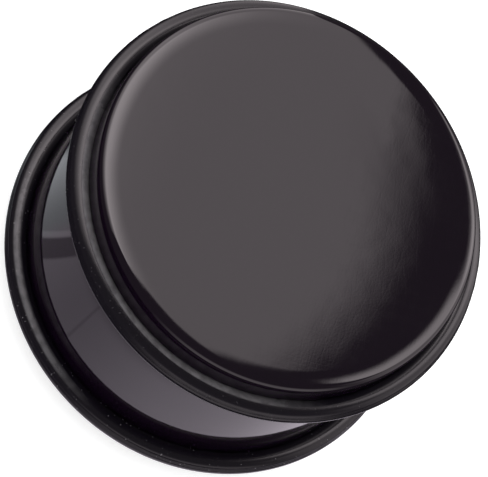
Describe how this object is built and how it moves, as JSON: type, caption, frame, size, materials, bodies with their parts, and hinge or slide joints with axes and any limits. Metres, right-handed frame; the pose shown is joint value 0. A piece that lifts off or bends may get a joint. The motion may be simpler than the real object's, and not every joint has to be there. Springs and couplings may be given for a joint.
{
  "type": "ear plug gauge",
  "caption": "Straight round ear plug of polished black acrylic with flat faces and softly rounded edges, held in the lobe by a black rubber O-ring near each end.",
  "frame": {"origin": "centre of the plug's flat back face, on which it stands", "axes": "+Z along the plug's axis, from the back face to the front face; X and Y are any two directions across it, as the plug is round"},
  "size_m": [0.0276, 0.0276, 0.0171],
  "materials": {
    "black_acrylic": "polished, with faint hairlines",
    "o_ring_rubber": "satin, smooth moulded"
  },
  "bodies": {
    "root": {"plug": "black_acrylic", "front_o_ring": "o_ring_rubber", "rear_o_ring": "o_ring_rubber"}
  },
  "joints": []
}
